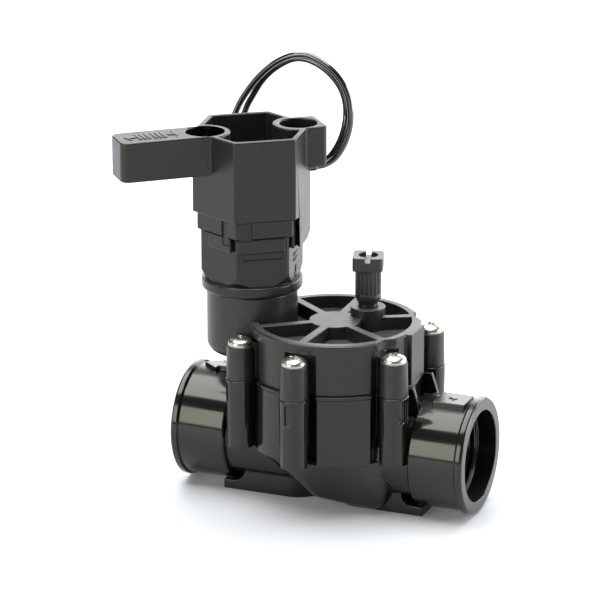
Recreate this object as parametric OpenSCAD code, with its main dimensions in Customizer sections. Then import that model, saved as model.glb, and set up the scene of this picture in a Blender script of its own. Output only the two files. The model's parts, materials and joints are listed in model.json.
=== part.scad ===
// Globe-pattern irrigation solenoid valve with 1 inch female threaded ports.
// X runs along the flow axis (the inlet is at +X), Z is up, and the origin is
// on the underside of the foot, straight below the bonnet's centre.

/* [Ports] */
// Half of the length from port face to port face
port_face_x = 56.4; // [54:0.1:60]
// Height of the flow axis above the foot's underside
flow_z = 21.5; // [21.4:0.1:22.5]
// Outer radius of the port collars
collar_r = 21.3; // [20:0.1:21.4]
// Length of each port collar
collar_len = 21; // [20:0.5:23]
// Radius of the smooth lead-in at each port's mouth
mouth_r = 16.7; // [16.5:0.05:17]
// Radius of the wall that carries the pipe thread
thread_r = 15.6; // [15.2:0.05:16]

/* [Body] */
// Height of the parting line between body and bonnet
parting_z = 47.2; // [46:0.1:49]
// Outer radius of the body's bowl
bowl_r = 31.5; // [31:0.1:32.5]
// Half length of the foot
foot_x = 38.8; // [36:0.1:42]
// Half width of the foot
foot_y = 12.4; // [10:0.1:14]

/* [Bonnet] */
// Outer radius of the bonnet
bonnet_r = 30.7; // [30:0.1:31]
// Height of the bonnet's top face
bonnet_top_z = 66.1; // [65:0.1:68]
// Radius of the circle that the six screws stand on
screw_circle_r = 35.3; // [35:0.1:36]
// Distance from the bonnet's centre to the solenoid's axis
tower_x = 32.4; // [31:0.1:34]
// Height of the tower's top face
tower_top_z = 75.2; // [74:0.1:77]

/* [Solenoid and handle] */
// Direction of the handle's lever about the solenoid's axis
lever_angle = -138.5; // [-180:0.5:0]
// Height of the handle's top face
handle_top_z = 134.5; // [130:0.5:138]
// Distance from the solenoid's axis to the lever's tip
lever_reach = 50.5; // [44:0.5:54]

/* [Leads] */
// Outer diameter of each lead wire
lead_d = 2.4; // [2:0.1:2.8]

/* [Hidden] */
$fn = 96;
eps = 0.01;

// The six screws, as angles from the inlet side
screw_angles = [32, 92.5, 142.4, -142.4, -92.5, -32];
scallop_r = 8.2;
body_boss_r = 5.4;
bonnet_boss_r = 5.15;
boss_bottom_z = 21.5;
boss_top_z = 59.7;
screw_hole_r = 2.35;
screw_shank_r = 2.3;
screw_tip_z = 30;
screw_head_r = 4.5;
screw_head_h = 3.1;

// Waterways
chamber_r = 22.6;
chamber_floor_z = 33;
recess_r = 25.4;
seat_r = 14.2;
seat_bore_r = 11.8;
seat_z = 41.5;
seat_well_z = 9.5;
outlet_bore_r = 10.5;
outlet_bore_z = 20;
inlet_bore_r = 11;
mouth_len = 7;
horn_r = 18.5;
collar_x = port_face_x - collar_len;
rim_chamfer = 0.7;
rim_len = 2.6;
collar_step = 0.9;

// Body details
panel_bottom_z = 20.8;
lip = 0.5;
lip_h = 1.3;
foot_h = 3.5;
foot_block_x = 30.5;
foot_lobe_x = 14;
pad_x = [40.6, 52.6];
pad_y = [-8.4, 2.6];
pad_top_z = 43.1;
arrow_top_z = 43.3;
rib_t = 1.8;
rib_y = 9.3;

// Diaphragm stack
membrane_t = 1.8;
membrane_z = parting_z - membrane_t;
plate_t = 2;
disc_t = 2;
lower_plate_t = membrane_z - seat_z - disc_t;
upper_plate_z = parting_z + plate_t;
bolt_r = 2.4;
roll_in_r = 17.6;
roll_out_r = 22.4;
plug_r = 1.3;
plug_at_r = 16.1;
control_r = 22.8;
control_top_z = 58.9;

// Bonnet details
pocket_floor_z = 61.2;
hub_r = 9.4;
pocket_r = 27.7;
spoke_w = 3.2;
flat_x = 32;
flat_y = 6.4;
tower_r = 16.5;
tower_bottom_z = 51;
socket_r = 10;
socket_z = 66.2;
pilot_seat_z = 68.6;
bleed_x = 9;
bleed_y = 9.5;
bleed_collar_r = 6.35;
bleed_collar_z = 69.5;
bleed_bore_r = 3.6;

// Solenoid
ring_r = 18.35;
ring_h = 4;
housing_hex_r = 19.1;
housing_z = tower_top_z + 0.1;
housing_top_z = 121;
frame_r = 13.9;
bobbin_core_r = 6.3;
tube_r = 5.4;
tube_bore_r = 4.5;
plunger_r = 4.44;
plunger_top_z = 96.4;
pole_z = 98;
nose_r = 9.92;
nose_z = 67.2;

// Handle
hex_turn = -5;
cap_reach = 21.9;
cap_half_flat = 11.2;
cap_half_depth = 20.5;
cap_wall = 2;
skirt_z = 98;
skirt_top_z = 104.6;
skirt_inset = 1.5;
tongue_z = 92.6;
tongue_w = 15.5;
tongue_r = 19;
arm_z = 120;
hole_r = 6.8;
hole_at = 17.7;
ring_wall = 2.6;
lever_half_w = 7.6;
boss_reach = 26.3;
boss_half_w = 8;
recess_floor_z = 122;

// Leads: where they come out of the handle, as a distance from the solenoid's axis
lead_exit_r = 24;
lead_exit_z = 118;
bare_len = 6;

// The points that each lead's centre line follows: out of the grommet, over the handle, down
// behind the valve, and in three runs along the surface that it stands on
lead_a_route = [
    [-13.3, 15.1, 118], [-10.9, 17.2, 118.4], [-8.2, 19.3, 120.2], [-5.9, 21.1, 123.9],
    [-4.4, 22.6, 128.5], [-3.7, 23.6, 133.5], [-4.1, 24, 139.5], [-5.8, 24, 145.3],
    [-9.6, 24, 150.5], [-14.9, 24, 154.3], [-20.9, 24, 156.5], [-27.2, 24, 155.6],
    [-33.6, 24, 152.2], [-39.6, 24, 146.7], [-44.7, 24, 140.1], [-48.6, 24, 133.2],
    [-51.3, 24.6, 124], [-52, 28, 99], [-51.5, 31, 71], [-50.5, 33, 43], [-46, 36.5, 18.5],
    [-39.5, 38.5, 8.5], [-31, 39.7, 3.2], [-22, 40, 1.3], [-4, 40, 1.3], [14, 40, 1.3],
    [21.1, 42.9, 1.3], [24, 50, 1.3], [21.1, 57.1, 1.3], [14, 60, 1.3], [-3, 60, 1.3],
    [-20, 60, 1.3], [-25.2, 62.1, 1.3], [-27.3, 67.3, 1.3], [-25.2, 72.5, 1.3], [-20, 74.6, 1.3],
    [0, 74.6, 1.3], [22, 74.6, 1.3]];
lead_b_route = [
    [-15.1, 17.15, 118], [-12.75, 19.2, 118.6], [-10.4, 21.2, 120.6], [-8.5, 23, 124],
    [-7.1, 24.6, 128.3], [-6.5, 26, 133.2], [-6.8, 26.7, 139], [-8.5, 26.7, 144.3],
    [-12.2, 26.7, 149], [-17.2, 26.7, 152.5], [-22.8, 26.7, 154.2], [-28, 26.7, 153.5],
    [-34, 26.7, 150], [-39, 26.7, 145.2], [-43, 26.7, 139], [-46.2, 26.7, 132.8],
    [-49, 27.3, 123], [-50, 30.7, 98.5], [-50, 33.7, 70.5], [-49, 35.7, 42.5], [-45, 39.2, 19],
    [-39, 41.2, 9], [-31, 42.4, 3.3], [-22, 42.7, 1.3], [-4, 42.7, 1.3], [14, 42.7, 1.3],
    [19.2, 44.8, 1.3], [21.3, 50, 1.3], [19.2, 55.2, 1.3], [14, 57.3, 1.3], [-3, 57.3, 1.3],
    [-20, 57.3, 1.3], [-27.1, 60.2, 1.3], [-30, 67.3, 1.3], [-27.1, 74.4, 1.3], [-20, 77.3, 1.3],
    [0, 77.3, 1.3], [22, 77.3, 1.3]];
ring_pitch = 6.6;

function arc(cx, cy, r, a0, a1, n) = [for (i = [0:n]) let (a = a0 + (a1 - a0) * i / n)
    [cx + r * cos(a), cy + r * sin(a)]];

// A rectangle from x0 to x1 and y0 to y1 whose corners are rounded
function round_rect(x0, x1, y0, y1, r, n = 6) = concat(
    arc(x1 - r, y1 - r, r, 0, 90, n),
    arc(x0 + r, y1 - r, r, 90, 180, n),
    arc(x0 + r, y0 + r, r, 180, 270, n),
    arc(x1 - r, y0 + r, r, 270, 360, n));

// A smooth curve through the points p, with a step about every pitch
function spline_point(a, b, c, d, t) = 0.5 * (2 * b + (c - a) * t
    + (2 * a - 5 * b + 4 * c - d) * t * t + (3 * b - a - 3 * c + d) * t * t * t);
function spline(p, pitch) = [for (i = [0:len(p) - 2])
    let (n = max(1, round(norm(p[i + 1] - p[i]) / pitch))) for (k = [0:n - 1])
    spline_point(p[max(i - 1, 0)], p[i], p[i + 1], p[min(i + 2, len(p) - 1)], k / n),
    p[len(p) - 1]];

function unit(v) = v / norm(v);

// Rings of a tube around the points q: each ring's frame is the last one, carried along
function side_axes(q, i, last) = let (t = unit(q[min(i + 1, len(q) - 1)] - q[max(i - 1, 0)]),
    u = unit(last - (last * t) * t)) u;
function carried(q, i = 0, last = [0.3, 0.1, 1], got = []) = i == len(q) ? got :
    let (u = side_axes(q, i, last)) carried(q, i + 1, u, concat(got, [u]));

module tube(q, r, sides = 8) {
    axes = carried(q);
    rings = [for (i = [0:len(q) - 1])
        let (t = unit(q[min(i + 1, len(q) - 1)] - q[max(i - 1, 0)]), u = axes[i], v = cross(t, u))
        for (k = [0:sides - 1]) q[i] + r * (cos(360 * k / sides) * u + sin(360 * k / sides) * v)];
    last = (len(q) - 1) * sides;
    faces = concat(
        [[for (k = [0:sides - 1]) k]],
        [[for (k = [sides - 1:-1:0]) last + k]],
        [for (i = [0:len(q) - 2]) for (k = [0:sides - 1]) let (j = (k + 1) % sides)
            [i * sides + k, (i + 1) * sides + k, (i + 1) * sides + j, i * sides + j]]);
    polyhedron(rings, faces, convexity = 10);
}

// A coil spring of round wire between the heights z0 and z1
module coil_spring(r, wire, turns, z0, z1, steps = 20) {
    n = turns * steps;
    tube([for (i = [0:n]) let (a = 360 * i / steps)
        [r * cos(a), r * sin(a), z0 + (z1 - z0) * i / n]], wire / 2);
}

module along_x(x0, x1, r) {
    translate([x0, 0, 0]) rotate([0, 90, 0]) cylinder(r = r, h = x1 - x0);
}

module at_screws() {
    for (a = screw_angles) rotate(a) translate([screw_circle_r, 0, 0]) children();
}

module at_tower() {
    translate([-tower_x, 0, 0]) rotate(lever_angle) children();
}

// ---- body -----------------------------------------------------------------

module bowl(r, z0, z1, cut_r) {
    difference() {
        translate([0, 0, z0]) cylinder(r = r, h = z1 - z0);
        at_screws() translate([0, 0, z0 - 1]) cylinder(r = cut_r, h = z1 - z0 + 2);
    }
}

module globe() {
    hull() {
        translate([0, 0, panel_bottom_z]) cylinder(r = bowl_r - 1, h = 0.4, $fn = 48);
        for (s = [-1, 1]) {
            translate([19.5, s * 12.5, 8.3]) sphere(r = 7.5, $fn = 32);
            translate([2, s * 14, 10.8]) sphere(r = 8, $fn = 32);
        }
    }
}

module port_collar() {
    rotate([90, 0, 90]) rotate_extrude() polygon([
        [0, collar_x], [collar_r - collar_step - rim_chamfer, collar_x],
        [collar_r - collar_step, collar_x + rim_chamfer],
        [collar_r - collar_step, port_face_x - rim_len - 0.4],
        [collar_r, port_face_x - rim_len], [collar_r, port_face_x - rim_chamfer],
        [collar_r - rim_chamfer, port_face_x], [0, port_face_x]]);
}

// A plain pad on top of the inlet collar and an arrow on the outlet collar show the flow
module flow_marks() {
    translate([pad_x[0], pad_y[0], flow_z])
        cube([pad_x[1] - pad_x[0], pad_y[1] - pad_y[0], pad_top_z - flow_z]);
    translate([0, 0, flow_z]) linear_extrude(arrow_top_z - flow_z) polygon([
        [-51.5, 0], [-45, 5], [-45, 2.2], [-38, 2.2], [-38, -2.2], [-45, -2.2], [-45, -5]]);
}

module flange_rib(side) {
    translate([0, side * rib_y + rib_t / 2, 0]) rotate([90, 0, 0]) linear_extrude(rib_t)
        polygon([[27, 30], [27, parting_z], [34.2, parting_z], [37.2, 38], [37.2, 30]]);
}

module foot() {
    for (s = [0, 1]) mirror([s, 0, 0]) {
        translate([foot_lobe_x, 0, 0]) cylinder(r = foot_y, h = 10);
        translate([foot_lobe_x, -foot_y, 0]) cube([foot_x - foot_lobe_x, 2 * foot_y, foot_h]);
        translate([foot_lobe_x, -foot_y, 0]) cube([foot_block_x - foot_lobe_x, 2 * foot_y, 12]);
    }
    translate([-foot_lobe_x, -8.6, 0]) cube([2 * foot_lobe_x, 17.2, 10]);
    for (s = [-1, 1]) foot_fillet(s);
}

module foot_fillet(side) {
    r = 4.6;
    mirror([side < 0 ? 1 : 0, 0, 0]) difference() {
        translate([foot_block_x - 1, -foot_y, foot_h - 0.5]) cube([r + 1, 2 * foot_y, r + 0.5]);
        translate([foot_block_x + r, 0, foot_h + r]) rotate([90, 0, 0])
            cylinder(r = r, h = 3 * foot_y, center = true);
    }
}

module waterways() {
    // Ports: a smooth mouth, the threaded wall and the passage behind it
    for (s = [0, 1]) mirror([s, 0, 0]) translate([0, 0, flow_z]) {
        along_x(port_face_x - mouth_len, port_face_x + 1, mouth_r);
        along_x(collar_x, port_face_x, thread_r);
    }
    // Inlet: straight in, then up into the ring chamber around the seat
    translate([0, 0, flow_z]) along_x(seat_r + 2, collar_x + 1, inlet_bore_r);
    rotate(-45) rotate_extrude(angle = 90)
        translate([seat_r + 1, 11]) square([chamber_r - seat_r - 1.4, chamber_floor_z - 10]);
    difference() {
        translate([0, 0, chamber_floor_z]) cylinder(r = chamber_r, h = parting_z);
        translate([0, 0, chamber_floor_z - 1]) cylinder(r = seat_r, h = seat_z - chamber_floor_z + 1);
    }
    // Rim of the diaphragm
    translate([0, 0, membrane_z]) cylinder(r = recess_r, h = membrane_t + 1);
    // Outlet: down through the seat, then out
    translate([0, 0, seat_well_z]) cylinder(r = seat_bore_r, h = parting_z);
    translate([0, 0, outlet_bore_z]) along_x(-collar_x - 1, 0, outlet_bore_r);
}

module pilot_drain(z0, z1) {
    translate([-27.8, 0, z0]) cylinder(r = 0.9, h = z1 - z0);
}

module valve_body() {
    color("#1c1d1d") difference() {
        union() {
            bowl(bowl_r, panel_bottom_z, parting_z, scallop_r);
            bowl(bowl_r + lip, parting_z - lip_h, parting_z, scallop_r - lip);
            at_screws() {
                translate([0, 0, boss_bottom_z])
                    cylinder(r1 = body_boss_r - 0.4, r2 = body_boss_r, h = parting_z - boss_bottom_z);
                translate([-8.4, -1.6, boss_bottom_z]) cube([8.4, 3.2, parting_z - boss_bottom_z]);
            }
            globe();
            translate([0, 0, flow_z]) {
                along_x(-collar_x - 1, -8, horn_r);
                along_x(8, collar_x + 1, horn_r);
                for (s = [0, 1]) mirror([s, 0, 0]) port_collar();
            }
            flow_marks();
            for (s = [-1, 1]) flange_rib(s);
            foot();
        }
        waterways();
        at_screws() {
            translate([0, 0, screw_tip_z - 2]) cylinder(r = screw_hole_r, h = parting_z);
            // Cored slot in the outer face of each boss
            translate([body_boss_r - 1.3, -1.3, parting_z - 9]) cube([3, 2.6, 7.6]);
        }
        pilot_drain(20, parting_z + 1);
    }
}

// ---- bonnet ---------------------------------------------------------------

module bonnet_pockets() {
    difference() {
        translate([0, 0, pocket_floor_z]) cylinder(r = pocket_r, h = 10);
        translate([0, 0, pocket_floor_z - 1]) cylinder(r = hub_r, h = 12);
        for (a = screw_angles) rotate(a)
            translate([0, -spoke_w / 2, pocket_floor_z - 1]) cube([40, spoke_w, 12]);
    }
}

module tower() {
    round_r = 4;
    translate([-tower_x, 0, 0]) rotate_extrude() polygon(concat(
        [[0, tower_bottom_z]],
        arc(tower_r - round_r, tower_bottom_z + round_r, round_r, -90, 0, 8),
        [[tower_r, tower_top_z - 0.5], [tower_r - 0.5, tower_top_z], [0, tower_top_z]]));
}

module pilot_passages() {
    // Socket for the solenoid's nose, around the raised pilot seat
    difference() {
        translate([-tower_x, 0, socket_z]) cylinder(r = socket_r, h = 20);
        translate([-tower_x, 0, socket_z - 1])
            cylinder(r1 = 3.4, r2 = 2.2, h = pilot_seat_z - socket_z + 1);
    }
    // Pilot orifice, and its drain down into the outlet
    translate([-tower_x, 0, 57]) cylinder(r = 0.9, h = 20);
    translate([0, 0, 57.5]) along_x(-tower_x, -27.8, 0.9);
    pilot_drain(parting_z - 1, 57.5);
    // Supply from the control chamber up to the socket
    translate([0, 6, 56.5]) along_x(-26, -16, 1);
    translate([-25.6, 6, 56.5]) cylinder(r = 1, h = 12);
}

// The moulded disc with its pockets, flat and screw bosses
module bonnet_disc() {
    difference() {
        union() {
            difference() {
                translate([0, 0, parting_z]) cylinder(r = bonnet_r, h = bonnet_top_z - parting_z - 0.5);
                // Scallops around the bosses, with a web left standing behind each
                at_screws() difference() {
                    translate([0, 0, parting_z - 1])
                        cylinder(r = scallop_r - 0.2, h = boss_top_z - parting_z + 3.4);
                    translate([-10, -1.6, parting_z - 2]) cube([10, 3.2, boss_top_z - parting_z + 2]);
                }
            }
            translate([0, 0, bonnet_top_z - 0.5 - eps])
                cylinder(r1 = bonnet_r, r2 = bonnet_r - 0.4, h = 0.5 + eps);
            translate([20, -flat_y, parting_z])
                cube([flat_x - 20, 2 * flat_y, bonnet_top_z - parting_z]);
        }
        bonnet_pockets();
    }
    at_screws() translate([0, 0, parting_z])
        cylinder(r1 = bonnet_boss_r, r2 = bonnet_boss_r - 0.3, h = boss_top_z - parting_z);
}

module bonnet() {
    color("#2b2c2c") difference() {
        union() {
            bonnet_disc();
            tower();
            translate([bleed_x, bleed_y, control_top_z])
                cylinder(r = bleed_collar_r, h = bleed_collar_z - control_top_z);
        }
        // Control chamber above the diaphragm, with a ring that centres the spring
        difference() {
            translate([0, 0, parting_z - 1]) cylinder(r = control_r, h = control_top_z - parting_z + 1);
            translate([0, 0, control_top_z - 2]) cylinder(r = 7.4, h = 4);
        }
        translate([0, 0, control_top_z - 3]) cylinder(r = 5.4, h = 3);
        // Room for the heads of the two screws beside the flat
        for (a = [screw_angles[0], screw_angles[5]]) rotate(a)
            translate([screw_circle_r, 0, boss_top_z]) cylinder(r = 6.4, h = 10);
        at_screws() translate([0, 0, parting_z - 1]) cylinder(r = screw_hole_r, h = 20);
        translate([bleed_x, bleed_y, control_top_z - 1]) cylinder(r = bleed_bore_r, h = 20);
        pilot_passages();
    }
}

module bonnet_screws() {
    color("#c9c9c4") at_screws() difference() {
        union() {
            translate([0, 0, screw_tip_z]) cylinder(r = screw_shank_r, h = boss_top_z - screw_tip_z + 1);
            translate([0, 0, boss_top_z]) rotate_extrude() polygon(concat(
                [[0, 0], [screw_head_r, 0]],
                [for (a = [0:90 / 8:90])
                    [screw_head_r * cos(a), 0.7 + (screw_head_h - 0.7) * sin(a)]]));
        }
        for (a = [0, 90]) rotate(a + 20) translate([-2.4, -0.45, boss_top_z + screw_head_h - 1.8])
            cube([4.8, 0.9, 4]);
    }
}

// ---- diaphragm ------------------------------------------------------------

module diaphragm() {
    roll_mid = (roll_in_r + roll_out_r) / 2;
    roll_r = (roll_out_r - roll_in_r) / 2;
    color("#181818") difference() {
        rotate_extrude() polygon(concat(
            [[bolt_r, membrane_z]],
            arc(roll_mid, membrane_z, roll_r, 180, 360, 12),
            [[recess_r - 0.05, membrane_z], [recess_r - 0.05, parting_z]],
            arc(roll_mid, parting_z, roll_r - membrane_t * 0.8, 360, 180, 12),
            [[bolt_r, parting_z]]));
        rotate(60) translate([plug_at_r, 0, 40]) cylinder(r = plug_r, h = 12);
    }
}

module upper_plate() {
    color("#3a3b3c") translate([0, 0, parting_z]) rotate_extrude() polygon([
        [bolt_r, 0], [14, 0], [14, 1.2], [13, plate_t], [bolt_r, plate_t]]);
}

module lower_plate() {
    color("#3a3b3c") translate([0, 0, seat_z + disc_t]) difference() {
        cylinder(r = 14.2, h = lower_plate_t);
        translate([0, 0, -1]) cylinder(r = bolt_r, h = 10);
    }
}

module seat_disc() {
    color("#141414") translate([0, 0, seat_z]) difference() {
        cylinder(r = 14.4, h = disc_t);
        translate([0, 0, -1]) cylinder(r = bolt_r, h = 10);
    }
}

module guide_cage() {
    color("#d8d6cc") translate([0, 0, seat_z]) difference() {
        union() {
            translate([0, 0, -3]) cylinder(r = 5.2, h = 3);
            for (a = [0:60:300]) rotate(a) translate([0, -0.8, -11]) cube([seat_bore_r - 0.3, 1.6, 11]);
        }
        translate([0, 0, -12]) cylinder(r = 4.2, h = 9);
        translate([0, 0, -12]) cylinder(r = bolt_r, h = 20);
    }
}

module centre_bolt() {
    color("#b8b8b4") {
        translate([0, 0, seat_z - 3]) cylinder(r = bolt_r, h = upper_plate_z - seat_z + 7.2);
        translate([0, 0, seat_z - 5.6]) cylinder(r = 4, h = 2.6);
    }
}

module centre_nut() {
    color("#b8b8b4") translate([0, 0, upper_plate_z]) difference() {
        cylinder(r = 4.6, h = 3.2, $fn = 6);
        translate([0, 0, -1]) cylinder(r = bolt_r, h = 6);
    }
}

module metering_plug() {
    color("#d8d6cc") rotate(60) translate([plug_at_r, 0, 0]) difference() {
        union() {
            translate([0, 0, membrane_z - 2.6]) cylinder(r = plug_r, h = membrane_t + 3.8);
            translate([0, 0, parting_z]) cylinder(r = plug_r + 0.6, h = 0.7);
        }
        translate([0, 0, 30]) cylinder(r = 0.4, h = 40);
    }
}

module diaphragm_spring() {
    color("#b9bab8") coil_spring(9.4, 1.2, 3.5, upper_plate_z + 0.62, control_top_z - 0.62);
}

// ---- solenoid -------------------------------------------------------------

module solenoid_housing() {
    cavity_z = housing_z + ring_h;
    color("#232424") at_tower() difference() {
        union() {
            translate([0, 0, housing_z]) rotate_extrude() polygon(concat(
                [[0, 0]], arc(ring_r - 1, 1, 1, -90, 0, 5),
                [[ring_r, ring_h - 0.4], [ring_r - 0.4, ring_h], [0, ring_h]]));
            intersection() {
                translate([0, 0, housing_z + 1]) rotate(hex_turn)
                    cylinder(r = housing_hex_r, h = housing_top_z - housing_z - 1, $fn = 6);
                translate([0, 0, housing_z + 1]) rotate_extrude() polygon([
                    [0, 0], [ring_r - 1.4, 0], [ring_r - 1.4, ring_h - 1], [18.8, ring_h + 2.2],
                    [18.8, housing_top_z - housing_z - 1], [0, housing_top_z - housing_z - 1]]);
            }
        }
        translate([0, 0, cavity_z]) cylinder(r = frame_r, h = 36.2);
        translate([0, 0, housing_z - 1]) cylinder(r = tube_r, h = 10);
        // Long shallow window on the front face
        rotate(90 + hex_turn) translate([housing_hex_r * cos(30) - 0.4, -tongue_w / 2, 89.6])
            cube([2, tongue_w, 2.2]);
        // Way out for the leads
        lead_slot(frame_r + 0.1, 0.05);
    }
}

// The flat oval through which the leads pass, from the radius r0 to the grommet's face
module lead_slot(r0, clearance) {
    translate([-r0, 0, lead_exit_z]) rotate([0, -90, 0]) linear_extrude(lead_exit_r - r0)
        polygon(round_rect(-1.6 - clearance, 1.6 + clearance, -2.9 - clearance, 2.9 + clearance,
            1.6 + clearance));
}

module solenoid_nose() {
    groove_z = 71.2;
    color("#1d1e1e") translate([-tower_x, 0, 0]) difference() {
        translate([0, 0, nose_z]) cylinder(r = nose_r, h = housing_z - nose_z);
        translate([0, 0, nose_z - 1]) cylinder(r = tube_r, h = 20);
        rotate_extrude() translate([nose_r - 1.5, groove_z]) square([3, 2.2]);
    }
}

module flux_frame() {
    z0 = housing_z + ring_h;
    color("#8d8f90") translate([-tower_x, 0, z0]) difference() {
        cylinder(r = frame_r - 0.05, h = 36);
        translate([0, 0, 1.6]) cylinder(r = 12.2, h = 32.8);
        translate([0, 0, -1]) cylinder(r = tube_r, h = 40);
    }
}

module bobbin() {
    z0 = housing_z + ring_h + 1.6;
    color("#c8b48c") translate([-tower_x, 0, z0]) difference() {
        union() {
            cylinder(r = bobbin_core_r, h = 32.8);
            cylinder(r = 12, h = 1.2);
            translate([0, 0, 31.6]) cylinder(r = 12, h = 1.2);
        }
        translate([0, 0, -1]) cylinder(r = tube_r, h = 40);
    }
}

module coil_winding() {
    z0 = housing_z + ring_h + 2.8;
    color("#a2542a") translate([-tower_x, 0, z0]) difference() {
        cylinder(r = 11.4, h = 30.4);
        translate([0, 0, -1]) cylinder(r = bobbin_core_r, h = 40);
    }
}

module guide_tube() {
    color("#c4c6c6") translate([-tower_x, 0, 70.4]) difference() {
        cylinder(r = tube_r - 0.02, h = 44.5);
        translate([0, 0, -1]) cylinder(r = tube_bore_r, h = 44);
    }
}

module pole_piece() {
    color("#a9abab") translate([-tower_x, 0, pole_z]) difference() {
        cylinder(r = tube_bore_r, h = 15.4);
        translate([0, 0, -1]) cylinder(r = 2.9, h = 4);
    }
}

module plunger() {
    color("#a9abab") translate([-tower_x, 0, pilot_seat_z + 1.6]) difference() {
        cylinder(r = plunger_r, h = plunger_top_z - pilot_seat_z - 1.6);
        translate([0, 0, plunger_top_z - pilot_seat_z - 8.6]) cylinder(r = 2.9, h = 10);
    }
}

module plunger_spring() {
    color("#b9bab8") translate([-tower_x, 0, 0])
        coil_spring(2.3, 0.6, 7, plunger_top_z - 6.68, pole_z + 2.68, 16);
}

module plunger_seal() {
    color("#141414") translate([-tower_x, 0, pilot_seat_z]) cylinder(r = 3.2, h = 1.6);
}

module solenoid_o_ring() {
    color("#141414") translate([-tower_x, 0, 72.3]) rotate_extrude()
        translate([9.2, 0]) circle(r = 0.75, $fn = 32);
}

// ---- handle ---------------------------------------------------------------

function cap_outline(inset = 0, turn = hex_turn) =
    let (k = (cap_half_depth - inset) / cap_half_depth)
    [for (p = [[cap_reach, 0], [cap_half_flat, cap_half_depth], [-cap_half_flat, cap_half_depth],
               [-cap_reach, 0], [-cap_half_flat, -cap_half_depth],
               [cap_half_flat, -cap_half_depth]])
        [p[0] * cos(turn) - p[1] * sin(turn), p[0] * sin(turn) + p[1] * cos(turn)] * k];

module cap_arms() {
    translate([0, 0, arm_z]) linear_extrude(handle_top_z - arm_z) {
        polygon(round_rect(0, lever_reach, -lever_half_w, lever_half_w, 3));
        polygon(round_rect(-boss_reach, 0, -boss_half_w, boss_half_w, 2));
    }
}

module cap_rings() {
    intersection() {
        for (s = [-1, 1]) translate([s * hole_at, 0, recess_floor_z - 1])
            cylinder(r = hole_r + ring_wall, h = handle_top_z - recess_floor_z + 1);
        union() {
            translate([0, 0, recess_floor_z - 1]) linear_extrude(30) polygon(cap_outline());
            cap_arms();
        }
    }
}

// Below the skirt: a tongue down each face, and the full-width corner under the boss
module cap_tongues() {
    intersection() {
        union() {
            for (a = [90:60:270]) rotate(a) translate([0, -tongue_w / 2, tongue_z])
                cube([tongue_r, tongue_w, skirt_z - tongue_z + 1]);
            for (s = [0, 1]) mirror([0, s, 0]) rotate(30)
                translate([0, tongue_w / 2 - 12, tongue_z])
                cube([tongue_r, 12, skirt_z - tongue_z + 1]);
            // The front tongue runs on to the front left edge
            translate([0, 0, tongue_z]) cube([10.2, tongue_r, skirt_z - tongue_z + 1]);
        }
        translate([0, 0, tongue_z - 1]) linear_extrude(20)
            polygon(cap_outline(skirt_inset + 0.25, 0));
    }
    intersection() {
        translate([0, 0, tongue_z - 1]) linear_extrude(20) polygon(cap_outline(0, 0));
        translate([0, cap_half_depth, 0]) rotate([90, 0, 0]) linear_extrude(2 * cap_half_depth)
            polygon([[-14.2, 106], [-22, 106], [-22, 94.8], [-19.6, 92.4], [-14.2, 92.4]]);
    }
}

module handle_cap() {
    color("#2a2b2b") at_tower() difference() {
        union() {
            difference() {
                union() {
                    translate([0, 0, skirt_top_z]) linear_extrude(handle_top_z - skirt_top_z)
                        polygon(cap_outline());
                    translate([0, 0, skirt_z]) linear_extrude(skirt_top_z - skirt_z + 1)
                        polygon(cap_outline(skirt_inset));
                    rotate(hex_turn) cap_tongues();
                    cap_arms();
                }
                translate([0, 0, recess_floor_z]) linear_extrude(30) polygon(cap_outline(cap_wall));
            }
            cap_rings();
        }
        // Socket that the solenoid's hexagon fills
        translate([0, 0, tongue_z - 1]) rotate(hex_turn)
            cylinder(r = housing_hex_r + 0.05, h = housing_top_z - tongue_z + 1.1, $fn = 6);
        for (s = [-1, 1]) translate([s * hole_at, 0, recess_floor_z]) cylinder(r = hole_r, h = 30);
        // Shallow slot in the front face, and the notch to the left of it
        rotate(hex_turn) translate([4.4, 18.1, 97.4]) cube([4.4, 4, 6.8]);
        rotate(30 + hex_turn) translate([17.5, 3.4, 95]) cube([5, 3.8, 9.4]);
        lead_slot(frame_r + 0.1, 0.05);
    }
}

module lead_grommet() {
    color("#101010") at_tower() lead_slot(frame_r + 0.15, 0);
}

// ---- bleed screw ----------------------------------------------------------

module bleed_screw() {
    head_w = 11;
    head_z = 83.8;
    head_h = 5;
    stem_r = 4.7;
    color("#262727") translate([bleed_x, bleed_y, 0]) difference() {
        union() {
            translate([0, 0, head_z]) rotate(-72) linear_extrude(head_h)
                polygon(round_rect(-head_w / 2, head_w / 2, -head_w / 2, head_w / 2, 1.6));
            translate([0, 0, 73]) cylinder(r = stem_r, h = head_z - 73 + eps);
            translate([0, 0, 70.6]) cylinder(r1 = bleed_bore_r - 0.1, r2 = stem_r, h = 2.4 + eps);
            translate([0, 0, 60.6]) cylinder(r = bleed_bore_r - 0.08, h = 10 + eps);
        }
        // Flutes around the stem
        for (a = [0:20:340]) rotate(a) translate([stem_r + 0.35, 0, 74.5])
            cylinder(r = 0.75, h = head_z - 75.5, $fn = 24);
        // Screwdriver slot and the hollow in the head
        translate([0, 0, head_z + head_h - 1.6]) cylinder(r = 3.5, h = 5);
        rotate(-72) translate([-7, -1, head_z + head_h - 1.6]) cube([14, 2, 5]);
        // Groove of the O-ring
        rotate_extrude() translate([2.6, 64.6]) square([3, 1.8]);
    }
}

module bleed_o_ring() {
    color("#141414") translate([bleed_x, bleed_y, 65.5]) rotate_extrude()
        translate([3.07, 0]) circle(r = 0.46, $fn = 24);
}

// ---- leads ----------------------------------------------------------------

module lead_a() {
    color("#0c0c0c") tube(spline(lead_a_route, ring_pitch), lead_d / 2);
}

module lead_b() {
    color("#0c0c0c") tube(spline(lead_b_route, ring_pitch), lead_d / 2);
}

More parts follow.
